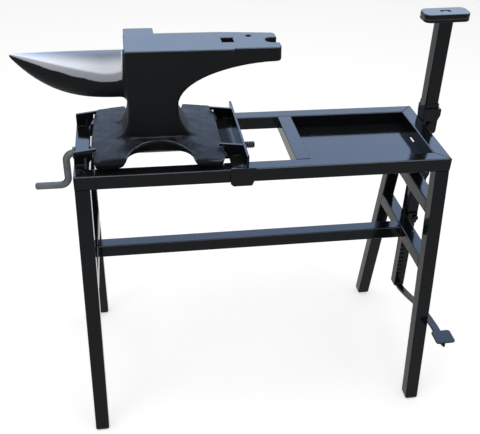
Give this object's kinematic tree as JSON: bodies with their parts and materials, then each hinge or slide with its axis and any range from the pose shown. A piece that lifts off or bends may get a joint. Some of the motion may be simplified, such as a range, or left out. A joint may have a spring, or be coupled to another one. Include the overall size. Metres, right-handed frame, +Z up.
{
  "type": "anvil stand",
  "caption": "Square-tube stand with splayed legs that clamps a horned anvil with a crank screw, with an open tray and a pedal-worked vise on a post.",
  "frame": {"origin": "on the floor, under the middle of the whole object's box", "axes": "+X along the frame from the horn to the vise post, +Y away from the pedal side, +Z up"},
  "size_m": [0.978, 0.4754, 0.9201],
  "materials": {
    "frame_paint": "gloss black paint",
    "anvil_iron": "dark satin casting, ground face and horn",
    "zinc_steel": "plain zinc-grey steel",
    "foot_plastic": "black moulded caps"
  },
  "bodies": {
    "stand": {"front_rail": "frame_paint", "rear_rail": "frame_paint", "left_end_rail": "frame_paint", "right_end_rail": "frame_paint", "cross_bar": "frame_paint", "tray_sheet": "frame_paint", "front_left_leg": "frame_paint", "rear_left_leg": "frame_paint", "front_right_leg": "frame_paint", "rear_right_leg": "frame_paint", "front_left_foot_cap": "foot_plastic", "rear_left_foot_cap": "foot_plastic", "front_right_foot_cap": "foot_plastic", "rear_right_foot_cap": "foot_plastic", "left_low_rung": "frame_paint", "right_low_rung": "frame_paint", "right_high_rung": "frame_paint", "stretcher": "frame_paint", "fixed_wing_rear": "frame_paint", "fixed_gusset_rear": "frame_paint", "fixed_wing_front": "frame_paint", "fixed_gusset_front": "frame_paint", "anvil": "anvil_iron", "vise_post": "frame_paint", "lower_vise_jaw": "frame_paint", "upper_bracket": "frame_paint", "upper_bracket_bolt": "frame_paint", "lower_bracket": "frame_paint", "lower_bracket_bolt": "frame_paint", "catch_plate": "frame_paint", "catch_bolt": "frame_paint"},
    "screw_set": {"clamp_screw": "zinc_steel", "outer_collar": "zinc_steel", "inner_collar": "zinc_steel", "crank": "zinc_steel"},
    "jaw_set": {"jaw_angle": "frame_paint", "jaw_wing_rear": "frame_paint", "jaw_wing_front": "frame_paint", "jaw_tab_front": "frame_paint", "jaw_tab_rear": "frame_paint", "jaw_tongue": "frame_paint", "jaw_nut": "zinc_steel"},
    "vise_set": {"upper_vise_jaw": "frame_paint", "rod_nut": "frame_paint", "pull_rod": "frame_paint", "toothed_bar": "frame_paint", "pedal_arm": "frame_paint", "pedal": "frame_paint"}
  },
  "joints": [
    {"name": "screw_turn", "type": "hinge", "parent": "stand", "child": "screw_set", "pos_m": [-0.38155, 0.01234, 0.64412], "axis": [1, 0, 0], "range_deg": [-1980, 0]},
    {"name": "jaw_slide", "type": "slide", "parent": "stand", "child": "jaw_set", "axis": [1, 0, 0], "range_m": [0, 0.022]},
    {"name": "vise_lift", "type": "slide", "parent": "stand", "child": "vise_set", "axis": [-0.0209, 0, 0.9998], "range_m": [0, 0.04]}
  ],
  "couplings": [
    {"joint": "jaw_slide", "follows": "screw_turn", "m_per_rad": -0.0006366}
  ]
}
